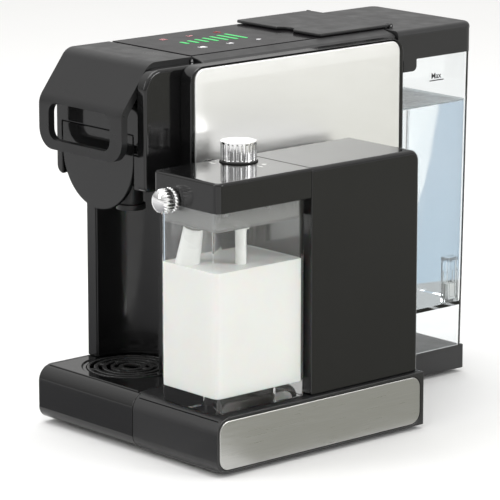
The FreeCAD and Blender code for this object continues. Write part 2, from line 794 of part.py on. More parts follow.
node("tank_lid", less(
    joined(less(lid_block, lid_hollow), lid_tab, lid_ear(flap_low_x), lid_ear(flap_high_x - 3)),
    rod("x", (flap_low_x - 1, flap_pivot_y, flap_pivot_z), 0.7, 120),
))
flap_plate = rounded(
    box((flap_low_x, s.flap_front, s.cover_top + 0.3),
        (flap_high_x, flap_pivot_y, s.cover_top + 0.3 + s.flap_thick)),
    2.0, "z", lambda middle, limits: middle.y < limits.YMin + 0.1,
)
flap_knuckle = rod(
    "x", (flap_low_x + 3.3, flap_pivot_y, flap_pivot_z), 1.4, flap_high_x - flap_low_x - 6.6
)
node("tank_flap", less(
    joined(flap_plate, flap_knuckle),
    rod("z", (left + 51, s.flap_front - 4, s.cover_top), 10.0, 6),
    box((flap_low_x - 1, flap_pivot_y - 2.2, s.cover_top),
        (flap_low_x + 3.3, flap_pivot_y + 9, s.cover_top + 6)),
    box((flap_high_x - 3.3, flap_pivot_y - 2.2, s.cover_top),
        (flap_high_x + 1, flap_pivot_y + 9, s.cover_top + 6)),
    rod("x", (flap_low_x - 1, flap_pivot_y, flap_pivot_z), 0.75, 120),
))
node("flap_pin", rod(
    "x", (flap_low_x + 0.1, flap_pivot_y, flap_pivot_z), 0.7, flap_high_x - flap_low_x - 0.2
))

# ---------------------------------------------------------------- milk unit
milk_right = s.milk_left + s.milk_width
tower = rounded(rounded(
    box((s.milk_left, s.milk_seam + 0.3, base_top + 0.02),
        (milk_right, s.milk_back, s.milk_top)), 8.0, "x",
    lambda middle, limits: middle.z > limits.ZMax - 0.1 and middle.y > limits.YMax - 0.1,
), 3.0, "z", lambda middle, limits: middle.y > limits.YMax - 0.1)
node("milk_tower", less(
    tower,
    box((s.milk_left + 2.5, s.milk_seam + 2.8, base_top - 1),
        (milk_right - 2.5, s.milk_back - 8, s.milk_top - 3)),
))
node("froth_pump", joined(
    box((s.milk_left + 12, s.milk_seam + 30, base_top + 0.04),
        (milk_right - 12, s.milk_seam + 78, base_top + 40)),
    rod("z", (s.milk_left + 34, s.milk_seam + 54, base_top + 40), 17.0, 42),
))
node("milk_dock", less(
    joined(
        rod("x", (silver_out + 0.05, 66, s.milk_top - 11), 9.0, 3),
        rod("x", (silver_out + 0.05, 66, s.milk_top - 11), 6.0, s.milk_left - silver_out - 0.35),
    ),
    rod("x", (silver_out + 4, 66, s.milk_top - 11), 3.0, 20),
))

jug_low = (s.milk_left + 5.2, s.milk_front + 1.6)
jug_high = (milk_right - 3.4, s.milk_seam - 2.8)
jug_block = rounded(
    box((*jug_low, base_top + 0.02), (*jug_high, s.jug_top)), 5.0, "z",
    lambda middle, limits: middle.y < limits.YMin + 0.1,
)
jug_block = rounded(jug_block, 3.0, "z", lambda middle, limits: middle.y > limits.YMax - 0.1)
jug_room = rounded(
    box((*[each + s.jug_wall for each in jug_low], base_top + s.jug_floor),
        (*[each - s.jug_wall for each in jug_high], s.jug_top + 1)), 3.0, "z",
)
node("milk_jug", less(jug_block, jug_room))

lid_front_edge = rounded(rounded(
    box((s.milk_left, s.milk_front, s.jug_top + 0.2), (milk_right, s.milk_seam, s.milk_top)), 5.0, "z",
    lambda middle, limits: middle.y < limits.YMin + 0.1,
), 2.0, "x", lambda middle, limits: middle.z > limits.ZMax - 0.1 and middle.y < limits.YMin + 0.1)
knob_x = s.milk_left + 16.5
knob_y = s.milk_front + 65.6
front_knob_x = s.milk_left + 21.7
front_knob_z = s.jug_top + 4
node("milk_lid", less(
    lid_front_edge,
    box((s.milk_left + 2.5, s.milk_front + 2.8, s.jug_top - 1),
        (milk_right - 2.5, s.milk_seam - 2.5, s.milk_top - 3)),
    rod("z", (knob_x, knob_y, s.milk_top - 5), 2.55, 10),
    rod("y", (front_knob_x, s.milk_front - 1, front_knob_z), 1.85, 10),
))
sleeve_low = [each + s.jug_wall + 0.5 for each in jug_low]
sleeve_high = [each - s.jug_wall - 0.5 for each in jug_high]
insert_block = rounded(
    box((*sleeve_low, s.jug_top - 13.8), (*sleeve_high, s.milk_top - 3.02)), 2.6, "z"
)
node("lid_insert", less(
    insert_block,
    box((*[each + 1.6 for each in sleeve_low], s.jug_top - 12),
        (*[each - 1.6 for each in sleeve_high], s.milk_top)),
    rod("z", (s.milk_left + 46.2, 45, s.jug_top - 15), 2.8, 6),
    rod("z", (s.milk_left + 28.3, 19.8, s.jug_top - 15), 1.6, 6),
    rod("y", (front_knob_x, 0, front_knob_z), 2.4, 14),
))
siphon_x = s.milk_left + 46.2
flange_z = s.jug_top - 18
node("siphon_tube", less(
    joined(
        rod("z", (siphon_x, 45, flange_z), 6.0, 2.2),
        rod("z", (siphon_x, 45, flange_z + 2), 4.4, 2.1),
        rod("z", (siphon_x, 45, base_top + s.jug_floor + 5), 3.9,
            flange_z - base_top - s.jug_floor - 5),
    ),
    rod("z", (siphon_x, 45, base_top), 2.8, 160),
))
froth_leaned = less(
    joined(rod("z", (0, 0, 0), 9.0, 34.0, 7.0), rod("z", (0, 0, 28), 3.0, 6.6)),
    rod("z", (0, 0, -1), 7.6, 33.0, 5.6),
    rod("z", (0, 0, 20), 1.8, 30),
)
froth_leaned.Placement.Rotation = FreeCAD.Rotation(FreeCAD.Vector(0, 1, 0), 14)
node("froth_nozzle", froth_leaned, (s.milk_left + 19, s.milk_front + 15.4, s.jug_top - 49.5))


def fluted(knob, along, centre, radius, length, count):
    """Cut shallow flutes round a knob."""
    grooves = []
    for step in range(count):
        turn = 2 * math.pi * step / count
        reach = (radius + 0.55) * math.cos(turn), (radius + 0.55) * math.sin(turn)
        if along == "z":
            start = (centre[0] + reach[0].number, centre[1] + reach[1].number, centre[2] + 1.2)
        else:
            start = (centre[0] + reach[0].number, centre[1] + 1.6, centre[2] + reach[1].number)
        grooves.append(rod(along, start, 1.0, length - 2.8))
    return less(knob, *grooves)


knob_low = s.milk_top + 1.0
node("top_knob", fluted(
    joined(
        rod("z", (knob_x, knob_y, knob_low), s.knob_radius, 14),
        rod("z", (knob_x, knob_y, s.milk_top - 6), 2.5, 8),
    ),
    "z", (knob_x, knob_y, knob_low), s.knob_radius, 14, 24,
))
node("knob_ring", less(
    rod("z", (knob_x, knob_y, s.milk_top + 0.05), s.knob_radius + 0.9, 0.85),
    rod("z", (knob_x, knob_y, s.milk_top - 1), 4.0, 4),
))
node("front_knob", fluted(
    joined(
        rod("y", (front_knob_x, s.milk_front - 14.8, front_knob_z), s.front_knob_radius, 14.3),
        rod("y", (front_knob_x, s.milk_front - 2, front_knob_z), 1.8, 9),
    ),
    "y", (front_knob_x, s.milk_front - 14.8, front_knob_z), s.front_knob_radius, 14.3, 20,
))

# ---------------------------------------------------------------- write the pieces
doc.recompute()
for label, piece in NODES.items():
    shape = piece.Shape
    if "Invalid" in piece.State or "Error" in piece.State or shape.isNull() or not shape.isValid():
        raise RuntimeError(f"{label} did not build: {piece.State}")
    shape.exportStep(f"parts/{label}.step")
    print(label, len(shape.Solids), round(shape.Volume / 1000, 2), "cm3")
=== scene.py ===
import math

import bmesh
import bpy
from mathutils import Matrix, Vector


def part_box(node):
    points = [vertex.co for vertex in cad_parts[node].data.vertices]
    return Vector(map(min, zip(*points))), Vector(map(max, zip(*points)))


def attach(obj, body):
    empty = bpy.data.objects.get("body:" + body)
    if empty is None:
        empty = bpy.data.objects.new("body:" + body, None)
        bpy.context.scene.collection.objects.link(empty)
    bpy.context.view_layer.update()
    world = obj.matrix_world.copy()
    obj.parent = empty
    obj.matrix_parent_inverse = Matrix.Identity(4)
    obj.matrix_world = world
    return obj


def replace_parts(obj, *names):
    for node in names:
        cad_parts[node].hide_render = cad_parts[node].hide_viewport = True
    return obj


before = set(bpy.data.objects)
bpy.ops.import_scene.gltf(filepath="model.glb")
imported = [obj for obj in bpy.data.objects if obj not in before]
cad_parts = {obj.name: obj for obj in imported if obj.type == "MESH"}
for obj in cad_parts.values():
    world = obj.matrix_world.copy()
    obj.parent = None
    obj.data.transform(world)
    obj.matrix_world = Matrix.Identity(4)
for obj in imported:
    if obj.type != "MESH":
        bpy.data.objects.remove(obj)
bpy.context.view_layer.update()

# ---------------------------------------------------------------- the studio
# A pale floor runs far behind the machine. The light is soft: a big box overhead, a tall one in
# front at the left and one behind at the right. The camera has a long lens and looks down a little.
scene = bpy.context.scene
scene.view_settings.view_transform = "Standard"


def joined_to_scene(thing):
    """Put a new object in the scene."""
    scene.collection.objects.link(thing)
    return thing


camera = joined_to_scene(bpy.data.objects.new("camera", bpy.data.cameras.new("camera")))
camera.data.sensor_width = 36.0
camera.data.lens = 238.15
camera.data.clip_end = 100.0
camera.location = (1.7656, -1.6092, 0.6568)
camera.rotation_euler = (math.radians(77.362), 0.0, math.radians(48.456))
scene.camera = camera


def soft_box(name, place, aim, width, height, watts):
    """A rectangular lamp that looks at a point."""
    lamp = bpy.data.lights.new(name, "AREA")
    lamp.shape = "RECTANGLE"
    lamp.size, lamp.size_y = width, height
    lamp.energy = watts
    holder = joined_to_scene(bpy.data.objects.new(name, lamp))
    holder.location = place
    holder.rotation_euler = (Vector(aim) - Vector(place)).to_track_quat("-Z", "Y").to_euler()


soft_box("overhead_box", (-0.3, -0.2, 1.7), (0.0, 0.0, 0.1), 1.6, 1.2, 17.0)
soft_box("front_box", (-0.9, -1.9, 1.0), (0.0, 0.0, 0.12), 0.5, 1.3, 9.0)
soft_box("side_box", (2.1, 0.9, 0.9), (0.1, 0.0, 0.12), 0.9, 0.9, 16.0)

sky = bpy.data.worlds.new("studio_walls")
scene.world = sky
sky.use_nodes = True
walls = sky.node_tree.nodes
height = walls.new("ShaderNodeSeparateXYZ")
rise = walls.new("ShaderNodeMapRange")
rise.inputs["From Min"].default_value = 0.0
rise.inputs["From Max"].default_value = 0.6
rise.inputs["To Min"].default_value = 0.45
rise.inputs["To Max"].default_value = 1.0
sky.node_tree.links.new(walls.new("ShaderNodeTexCoord").outputs["Generated"], height.inputs[0])
sky.node_tree.links.new(height.outputs["Z"], rise.inputs["Value"])
sky.node_tree.links.new(rise.outputs["Result"], walls["Background"].inputs["Strength"])
walls["Background"].inputs["Color"].default_value = (1.0, 0.995, 0.985, 1.0)


class Surface:
    """A finish in the making: one shader, and the patterns that feed it."""

    def __init__(self, name, **plain):
        self.material = bpy.data.materials.new(name)
        self.material.use_nodes = True
        self.tree = self.material.node_tree
        self.shader = self.tree.nodes["Principled BSDF"]
        self.place = self.tree.nodes.new("ShaderNodeTexCoord").outputs["Object"]
        for socket, value in plain.items():
            self.shader.inputs[socket.replace("_", " ")].default_value = value

    def add(self, kind, **inputs):
        """A pattern node, its sockets set to numbers or joined to other nodes."""
        made = self.tree.nodes.new(kind)
        for socket, value in inputs.items():
            target = made.inputs[socket.replace("_", " ")]
            if isinstance(value, bpy.types.NodeSocket):
                self.tree.links.new(value, target)
            else:
                target.default_value = value
        return made

    def speckle(self, scale, detail=3.0, stretch=None):
        """Random clouds, so many to the metre; stretch draws them out along one axis."""
        place = self.place
        if stretch:
            place = self.add("ShaderNodeMapping", Vector=place, Scale=stretch).outputs[0]
        clouds = self.add("ShaderNodeTexNoise", Vector=place, Scale=scale, Detail=detail)
        return clouds.outputs["Fac"]

    def between(self, factor, low, high, start=0.3, end=0.7):
        """The clouds turned into a range of one number."""
        made = self.add("ShaderNodeMapRange", Value=factor)
        limits = {"From Min": start, "From Max": end, "To Min": low, "To Max": high}
        for socket, value in limits.items():
            made.inputs[socket].default_value = value
        return made.outputs["Result"]

    def tinted(self, factor, first, second):
        """Two colours mixed by a pattern."""
        made = self.tree.nodes.new("ShaderNodeMix")
        made.data_type = "RGBA"
        self.tree.links.new(factor, made.inputs["Factor"])
        made.inputs["A"].default_value = (*first, 1.0)
        made.inputs["B"].default_value = (*second, 1.0)
        return made.outputs["Result"]

    def relief(self, height, depth):
        """A pattern pressed into the surface, that many metres deep."""
        pressed = self.add("ShaderNodeBump", Height=height, Distance=depth, Strength=1.0)
        return pressed.outputs[0]

    def feed(self, socket, output):
        """Let a pattern drive one socket of the shader."""
        self.tree.links.new(output, self.shader.inputs[socket])
        return self


floor_paint = Surface("floor_paint", Roughness=0.6)
floor_clouds = floor_paint.speckle(2.0)
floor_paint.feed(
    "Base Color", floor_paint.tinted(floor_clouds, (0.86, 0.86, 0.855), (0.9, 0.9, 0.895)),
)
reach = 14.0
floor_corners = [(-reach, -reach, 0), (reach, -reach, 0), (reach, reach, 0), (-reach, reach, 0)]
floor_mesh = bpy.data.meshes.new("studio_floor")
floor_mesh.from_pydata(floor_corners, [], [(0, 1, 2, 3)])
floor_mesh.materials.append(floor_paint.material)
joined_to_scene(bpy.data.objects.new("studio_floor", floor_mesh))


def painted_reflection_card(name, corners, near, far, height, mirrored):
    """A glowing two-tone sheet a hair above the floor, a painted reflection. Only shiny or only
    clear pieces see it.
    """
    tone = Surface(
        name, Base_Color=(0.0, 0.0, 0.0, 1.0), Roughness=1.0, Specular_IOR_Level=0.0,
        Emission_Strength=1.0,
    )
    away = tone.add("ShaderNodeVectorMath", Vector=tone.place)
    away.operation = "DISTANCE"
    share = tone.between(away.outputs["Value"], 0.0, 1.0, 0.25, 0.9)
    tone.feed("Emission Color", tone.tinted(share, near, far))
    sheet = bpy.data.meshes.new(name)
    sheet.from_pydata([(x, y, height) for x, y in corners], [], [(0, 1, 2, 3)])
    sheet.materials.append(tone.material)
    card = joined_to_scene(bpy.data.objects.new(name, sheet))
    card.visible_camera = card.visible_diffuse = card.visible_shadow = False
    card.visible_glossy = mirrored
    card.visible_transmission = not mirrored


# Painted reflections: two darker sheets that shiny pieces see in place of the bright floor in front
# and at the right, and a bluish one that only clear pieces show in place of the floor behind them.
painted_reflection_card(
    "front_card", ((-1.3, -1.3), (0.16, -1.3), (0.16, -0.185), (-1.3, -0.185)),
    (0.36, 0.36, 0.37), (0.9, 0.9, 0.9), 0.0008, True,
)
painted_reflection_card(
    "side_card", ((0.115, -0.12), (1.6, -0.12), (1.6, 1.8), (0.115, 1.8)),
    (0.44, 0.44, 0.39), (0.56, 0.56, 0.5), 0.0008, True,
)
painted_reflection_card(
    "clear_card", ((-1.3, -1.0), (-0.12, -0.14), (-0.12, 0.165), (-1.3, 0.165)),
    (0.62, 0.75, 0.86), (0.7, 0.8, 0.9), 0.0005, False,
)

# ---------------------------------------------------------------- base
# The base is one satin black moulding with a brushed steel sheet let into its right side. A grey
# plate held by five screws closes it from below, and it stands on five rubber feet.


def moulded(name, colour, roughness, grain=1500.0, depth=0.00002, spread=0.07, **plain):
    """Moulded plastic: faint clouds in the colour, uneven shine and the grain of the mould."""
    finish = Surface(name, **plain)
    dark, light = [each * 0.82 for each in colour], [each * 1.2 for each in colour]
    finish.feed("Base Color", finish.tinted(finish.speckle(16.0), dark, light))
    uneven = finish.between(finish.speckle(70.0), roughness - spread, roughness + spread)
    finish.feed("Roughness", uneven)
    finish.feed("Normal", finish.relief(finish.speckle(grain, 2.0), depth))
    return finish.material


def brushed(name, colour, roughness, stretch, scale=600.0, depth=0.000012, spread=0.12):
    """Brushed metal: long fine lines along one axis, in the colour, the shine and the surface."""
    finish = Surface(name, Metallic=1.0)
    lines = finish.speckle(scale, 4.0, stretch)
    dark = [each * (1.0 - spread) for each in colour]
    light = [min(1.0, each * (1.0 + spread)) for each in colour]
    finish.feed("Base Color", finish.tinted(lines, dark, light))
    finish.feed("Roughness", finish.between(lines, roughness + 0.09, roughness - 0.07))
    finish.feed("Normal", finish.relief(lines, depth))
    return finish


def finished(material, *nodes):
    """Give pieces of the frame their finish."""
    for name in nodes:
        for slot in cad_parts[name].material_slots:
            slot.material = material


def eased(width, *nodes, turns=2, clamped=False):
    """Round the sharp edges of moulded pieces a little, as they leave the mould."""
    for name in nodes:
        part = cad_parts[name]
        part.modifiers.new("closed_up", "WELD").merge_threshold = 0.000002
        flat = part.modifiers.new("whole_faces", "DECIMATE")
        flat.decimate_type = "DISSOLVE"
        flat.angle_limit = math.radians(0.6)
        edge = part.modifiers.new("eased_edges", "BEVEL")
        edge.width = width
        edge.segments = turns
        edge.limit_method = "ANGLE"
        edge.angle_limit = math.radians(34.0)
        edge.use_clamp_overlap = clamped
        edge.miter_outer = "MITER_ARC"
        shine = part.modifiers.new("even_shine", "WEIGHTED_NORMAL")
        shine.keep_sharp = True


satin_black = moulded("satin_black", (0.012, 0.012, 0.0125), 0.4)
underside_grey = moulded("underside_grey", (0.045, 0.045, 0.045), 0.55)
side_steel = brushed("side_steel", (0.5, 0.5, 0.485), 0.34, (1.0, 0.02, 1.0), 1400.0, 0.000006)
screw_steel = brushed("screw_steel", (0.5, 0.5, 0.5), 0.35, (1.0, 1.0, 1.0), 900.0)
foot_rubber = moulded("foot_rubber", (0.016, 0.016, 0.016), 0.82, 900.0, 0.00006)
finished(satin_black, "base_housing")
finished(side_steel.material, "side_steel_panel")
finished(underside_grey, "base_bottom_plate")
finished(screw_steel.material, "bottom_screws")
finished(foot_rubber, "rubber_feet")
eased(0.0006, "base_housing", "side_steel_panel")
eased(0.0005, "rubber_feet", "base_bottom_plate")

# ---------------------------------------------------------------- drip tray
# The tray pulls out to the front: a gloss black front and top moulding over a satin tub, with a
# loose round grate of curved slots lying in a shallow dish.
piano_black = moulded("piano_black", (0.006, 0.006, 0.0062), 0.1, 40.0, 0.00003, 0.04)
grate_black = moulded("grate_black", (0.03, 0.03, 0.03), 0.24, 1300.0, 0.00001)
finished(piano_black, "drip_tray_front", "drip_deck")
finished(satin_black, "drip_tray_tub")
finished(grate_black, "drip_grate")
eased(0.0006, "drip_tray_front", "drip_deck")
eased(0.0004, "drip_grate", "drip_tray_tub")

# ---------------------------------------------------------------- body
# Tall gloss black mouldings: the body with its head and the hollow for the cup, a shaped plate over
# the right side, and over that a framed panel with a brushed silver face whose edges roll over.


def both(finish, first, second):
    """One pattern times another."""
    made = finish.add("ShaderNodeMath", Value=first)
    made.operation = "MULTIPLY"
    finish.tree.links.new(second, made.inputs[1])
    return made.outputs[0]


side_roll, top_roll, roll_depth = 0.009, 0.011, 0.00028
silver_face = brushed(
    "silver_face", (0.86, 0.86, 0.84), 0.4, (1.0, 0.02, 1.0), 2200.0, 0.000002, 0.02,
)
panel_low, panel_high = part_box("side_silver_panel")
along = silver_face.add("ShaderNodeSeparateXYZ", Vector=silver_face.place).outputs
from_front = silver_face.between(along["Y"], 0.0, 1.0, panel_low.y, panel_low.y + side_roll)
from_back = silver_face.between(along["Y"], 1.0, 0.0, panel_high.y - side_roll, panel_high.y)
from_top = silver_face.between(along["Z"], 1.0, 0.0, panel_high.z - top_roll, panel_high.z)
# This mask is 0 at the panel's edges and 1 on its flat middle. It tints the edges a lighter silver,
# which is a painted highlight along the rolled edges. It also bends the surface there as a real
# roll.
roll_and_highlight = both(silver_face, both(silver_face, from_front, from_back), from_top)
silver_face.feed("Base Color", silver_face.tinted(roll_and_highlight, (0.97, 0.97, 0.955), (0.94, 0.94, 0.92)))
silver_face.feed("Normal", silver_face.relief(roll_and_highlight, roll_depth))
bay_black = moulded("bay_black", (0.008, 0.008, 0.0082), 0.16, 60.0, 0.00003, 0.05)
finished(piano_black, "body_shell", "side_plate", "side_panel_frame")
finished(bay_black, "cup_bay_liner")
finished(silver_face.material, "side_silver_panel")
eased(0.0006, "body_shell", "side_panel_frame", "cup_bay_liner")
eased(0.0007, "side_plate", turns=3, clamped=True)
eased(0.0009, "side_silver_panel", turns=3)

# ---------------------------------------------------------------- top and touch panel
# A sloping cover closes the body. A gloss panel lies in it, and the touch marks and the strength
# bars shine through it from a small board underneath.


def lit(name, colour, strength):
    """A mark lit from behind, a little uneven as light spread by a film is."""
    glow = Surface(name, Roughness=0.3, Emission_Strength=strength)
    dim = [each * 0.75 for each in colour]
    glow.feed("Base Color", glow.tinted(glow.speckle(300.0), dim, colour))
    glow.feed("Emission Color", glow.tinted(glow.speckle(260.0), dim, colour))
    return glow.material


finished(satin_black, "top_cover")
touch_glass = moulded("touch_glass", (0.008, 0.007, 0.008), 0.16, 60.0, 0.00002, 0.05, IOR=1.14)
finished(touch_glass, "touch_panel")
bar_light = lit("bar_light", (0.03, 0.42, 0.1), 0.8)
mark_white = lit("mark_white", (0.75, 0.74, 0.76), 0.5)
mark_pink = lit("mark_pink", (0.6, 0.25, 0.27), 0.4)
mark_red = lit("mark_red", (0.32, 0.02, 0.03), 0.35)
mark_thickness = 0.00018


def shone_through(name, marks, finishes, node):
    """Thin marks flush on the panel, each an outline and a finish, in place of one plain node."""
    shape = bmesh.new()
    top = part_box(node)[1].z
    levels = (top - mark_thickness, top)
    for (x, y), points, finish in marks:
        rows = [[shape.verts.new((x + u, y + v, z)) for u, v in points] for z in levels]
        faces = [shape.faces.new(list(reversed(rows[0]))), shape.faces.new(rows[1])]
        for index, corner in enumerate(rows[0]):
            after = (index + 1) % len(points)
            faces.append(shape.faces.new((corner, rows[0][after], rows[1][after], rows[1][index])))
        for face in faces:
            face.material_index = finish
    bmesh.ops.recalc_face_normals(shape, faces=shape.faces)
    mesh = bpy.data.meshes.new(name)
    shape.to_mesh(mesh)
    shape.free()
    for finish in finishes:
        mesh.materials.append(finish)
    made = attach(joined_to_scene(bpy.data.objects.new(name, mesh)), "machine")
    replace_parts(made, node)


def bar(width, depth, steps=6):
    """A short bar with round ends."""
    points = []
    for side, start in ((1.0, -90.0), (-1.0, 90.0)):
        for step in range(steps + 1):
            turn = math.radians(start + 180.0 * step / steps)
            x = side * (width - depth) / 2 + depth / 2 * math.cos(turn)
            points.append((x, depth / 2 * math.sin(turn)))
    return points


def drop(size, steps=18):
    """A water drop with its point to the back."""
    points = []
    for step in range(steps):
        turn = 2.0 * math.pi * step / steps
        pinch = 0.5 + 0.5 * math.cos(turn - math.pi / 2)
        x = size * math.cos(turn) * (1.0 - 0.75 * pinch ** 2)
        points.append((x, size * math.sin(turn) * (1.0 + 0.35 * pinch)))
    return points


# Seven bars, each wider than the one in front of it, show the strength of the coffee.
lights_low, lights_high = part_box("strength_lights")
middle = (lights_low.x + lights_high.x) / 2
bar_inset, bar_pitch, bar_depth = 0.0021, 0.0083, 0.0031
first_width, wider_by = 0.01, 0.0026
bars = []
for order in range(7):
    place = (middle, lights_low.y + bar_inset + bar_pitch * order)
    bars.append((place, bar(first_width + wider_by * order, bar_depth), 0))
shone_through("bars", bars, [bar_light], "strength_lights")

# The six marks: a large and a small cup on saucers, water, steam, a rinse and a warning.
cup = [
    (-0.0024, 0.0016), (-0.0019, -0.0012), (-0.001, -0.002),
    (0.001, -0.002), (0.0019, -0.0012), (0.0024, 0.0016),
]
wave = [
    (0.0006 * math.sin(step * 0.9) + side * 0.00035, -0.0024 + step * 0.0006)
    for side, run in ((1.0, range(9)), (-1.0, range(8, -1, -1))) for step in run
]
icons_low, icons_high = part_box("touch_icons")
mark_inset, row_pitch = 0.0036, 0.02675
left_x, right_x = icons_low.x + mark_inset, icons_high.x - mark_inset
row_y = [icons_low.y + mark_inset + row_pitch * step for step in range(3)]
icons = [
    ((right_x, row_y[0]), [(1.15 * u, 1.1 * v) for u, v in cup], 0),
    ((right_x, row_y[0] - 0.0034), bar(0.005, 0.0007), 0),
    ((right_x, row_y[1]), [(0.8 * u, 0.75 * v) for u, v in cup], 0),
    ((right_x, row_y[1] - 0.003), bar(0.0044, 0.0006), 0),
    ((right_x, row_y[2]), drop(0.0018), 0),
    *[((left_x + shift, row_y[0]), wave, 1) for shift in (-0.0017, 0.0, 0.0017)],
    ((left_x, row_y[1]), drop(0.0014), 1),
    ((left_x, row_y[1] - 0.0028), bar(0.0048, 0.0006), 1),
    ((left_x, row_y[2]), bar(0.0062, 0.0016), 2),
    ((left_x, row_y[2] - 0.003), bar(0.0042, 0.001), 2),
]
shone_through("marks", icons, [mark_white, mark_pink, mark_red], "touch_icons")
finished(moulded("board_green", (0.02, 0.12, 0.05), 0.4), "touch_board", "power_board")
eased(0.0008, "top_cover")
eased(0.0004, "touch_panel")

# ---------------------------------------------------------------- head and pod drawer
# The head's front plate holds the round-bottomed drawer front flush in it. The drawer runs back on
# the head's floor with the pod adaptor in its round seat.
drawer_black = moulded("drawer_black", (0.014, 0.014, 0.0145), 0.38)
finished(piano_black, "head_front_plate", "pod_drawer_front")
finished(drawer_black, "pod_drawer", "pod_adaptor", "coffee_spout")
eased(0.0007, "head_front_plate", "pod_drawer_front")
eased(0.0005, "pod_drawer", "pod_adaptor", "coffee_spout")

# ---------------------------------------------------------------- lever
# One thick moulding with a soft matte face, hinged on a steel pin at the front of the touch panel,
# with a slot for the fingers.
lever_grey = moulded("lever_grey", (0.011, 0.011, 0.0115), 0.33, 1900.0, 0.000006, IOR=1.4)
finished(lever_grey, "lever")
finished(screw_steel.material, "lever_pin")
eased(0.0009, "lever", turns=3, clamped=True)

# ---------------------------------------------------------------- brewing parts
# Inside the body: a cast brewing block with its piston, a vibrating pump on two rubber mounts, a
# cast boiler, a flow meter, a brass valve, the power board and the hoses.
cast_metal = moulded("cast_metal", (0.4, 0.4, 0.39), 0.45, 500.0, 0.00008, 0.08, Metallic=1.0)
pump_white = moulded("pump_white", (0.6, 0.6, 0.57), 0.4)
turned_brass = brushed("turned_brass", (0.6, 0.45, 0.22), 0.3, (1.0, 1.0, 0.05))
hose_rubber = moulded("hose_rubber", (0.3, 0.3, 0.29), 0.5)
seal_rubber = moulded("seal_rubber", (0.2, 0.02, 0.015), 0.6)
part_grey = moulded("part_grey", (0.1, 0.1, 0.11), 0.5)
finished(cast_metal, "brew_block", "boiler")
finished(pump_white, "water_pump", "flow_meter", "froth_pump")
finished(turned_brass.material, "water_valve")
finished(foot_rubber, "pump_mounts")
finished(hose_rubber, "pressure_hose", "brew_hose")
finished(seal_rubber, "piston_seal", "seat_seal")
finished(screw_steel.material, "brew_piston", "shower_plate", "flap_pin")
finished(part_grey, "power_parts", "tank_seat")

# ---------------------------------------------------------------- water tank
# A clear moulded tank stands on a low shelf over its valve seat. It holds a filter, a float in a
# guide and the water, and a black lid with a hinged filling flap closes it.


def clear(name, colour, bend, low, high, smoked=None, waves=0.0001, share=1.0):
    """See-through plastic or water. Lamps shine through it, and it may be grey low down."""
    glass = Surface(name, IOR=bend, Transmission_Weight=share)
    clouds = glass.speckle(12.0)
    if smoked is None:
        glass.feed("Base Color", glass.tinted(clouds, [each * 0.985 for each in colour], colour))
    else:
        level = glass.add("ShaderNodeSeparateXYZ", Vector=glass.place).outputs["Z"]
        above = glass.between(level, 0.0, 1.0, smoked - 0.0012, smoked)
        glass.feed("Base Color", glass.tinted(above, (0.6, 0.6, 0.6), colour))
    glass.feed("Roughness", glass.between(glass.speckle(45.0), low, high))
    glass.feed("Normal", glass.relief(glass.speckle(18.0, 2.0), waves))
    through = glass.add("ShaderNodeBsdfTransparent")
    through.inputs["Color"].default_value = (*[0.4 + 0.57 * each for each in colour], 1.0)
    shadow = glass.add("ShaderNodeLightPath").outputs["Is Shadow Ray"]
    choice = glass.add("ShaderNodeMixShader")
    for index, output in enumerate((shadow, glass.shader.outputs[0], through.outputs[0])):
        glass.tree.links.new(output, choice.inputs[index])
    surface = glass.tree.nodes["Material Output"].inputs["Surface"]
    glass.tree.links.new(choice.outputs[0], surface)
    return glass.material


tank_clear = clear("tank_clear", (0.97, 0.985, 0.99), 1.46, 0.01, 0.05)
water_clear = clear("water_clear", (0.965, 0.985, 0.995), 1.33, 0.0, 0.02)
filter_white = moulded("filter_white", (0.7, 0.7, 0.68), 0.5)
finished(tank_clear, "water_tank", "float_guide")
finished(filter_white, "water_filter", "level_float", "tank_valve")
finished(satin_black, "tank_lid", "tank_flap")
eased(0.0007, "tank_flap")
eased(0.0008, "tank_lid", clamped=True)


def outline(low, high, radius, steps=6):
    """The corner points of a rectangle with round corners, anticlockwise."""
    points = []
    corners = (
        (high[0] - radius, high[1] - radius, 0), (low[0] + radius, high[1] - radius, 90),
        (low[0] + radius, low[1] + radius, 180), (high[0] - radius, low[1] + radius, 270),
    )
    for x, y, start in corners:
        for step in range(steps + 1):
            turn = math.radians(start + 90.0 * step / steps)
            points.append((x + radius * math.cos(turn), y + radius * math.sin(turn)))
    return points


def skinned(name, rings, material, body):
    """A closed skin over rings of points, capped at both ends; it rides on one body."""
    shape = bmesh.new()
    rows = [[shape.verts.new(point) for point in ring] for ring in rings]
    count = len(rows[0])
    for lower, upper in zip(rows, rows[1:]):
        for index in range(count):
            after = (index + 1) % count
            shape.faces.new((lower[index], lower[after], upper[after], upper[index]))
    shape.faces.new(list(reversed(rows[0])))
    shape.faces.new(rows[-1])
    bmesh.ops.recalc_face_normals(shape, faces=shape.faces)
    mesh = bpy.data.meshes.new(name)
    shape.to_mesh(mesh)
    shape.free()
    for face in mesh.polygons:
        face.use_smooth = True
    mesh.set_sharp_from_angle(angle=math.radians(40.0))
    mesh.materials.append(material)
    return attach(joined_to_scene(bpy.data.objects.new(name, mesh)), body)


def liquid(name, low, high, radius, creep, lean, material, body):
    """What a vessel holds. Its back leans as the vessel's does, and its top creeps up the wall."""
    rings = []
    for inset, z in (
        (0.0, low[2]), (0.0, high[2] + creep), (0.0006, high[2] + 0.45 * creep),
        (0.0014, high[2] + 0.15 * creep), (0.003, high[2]),
    ):
        inner_low = (low[0] + inset, low[1] + inset)
        inner_high = (high[0] - inset, high[1] - inset + (z - low[2]) * lean)
        points = outline(inner_low, inner_high, max(radius - inset, 0.0004))
        rings.append([(x, y, z) for x, y in points])
    return skinned(name, rings, material, body)


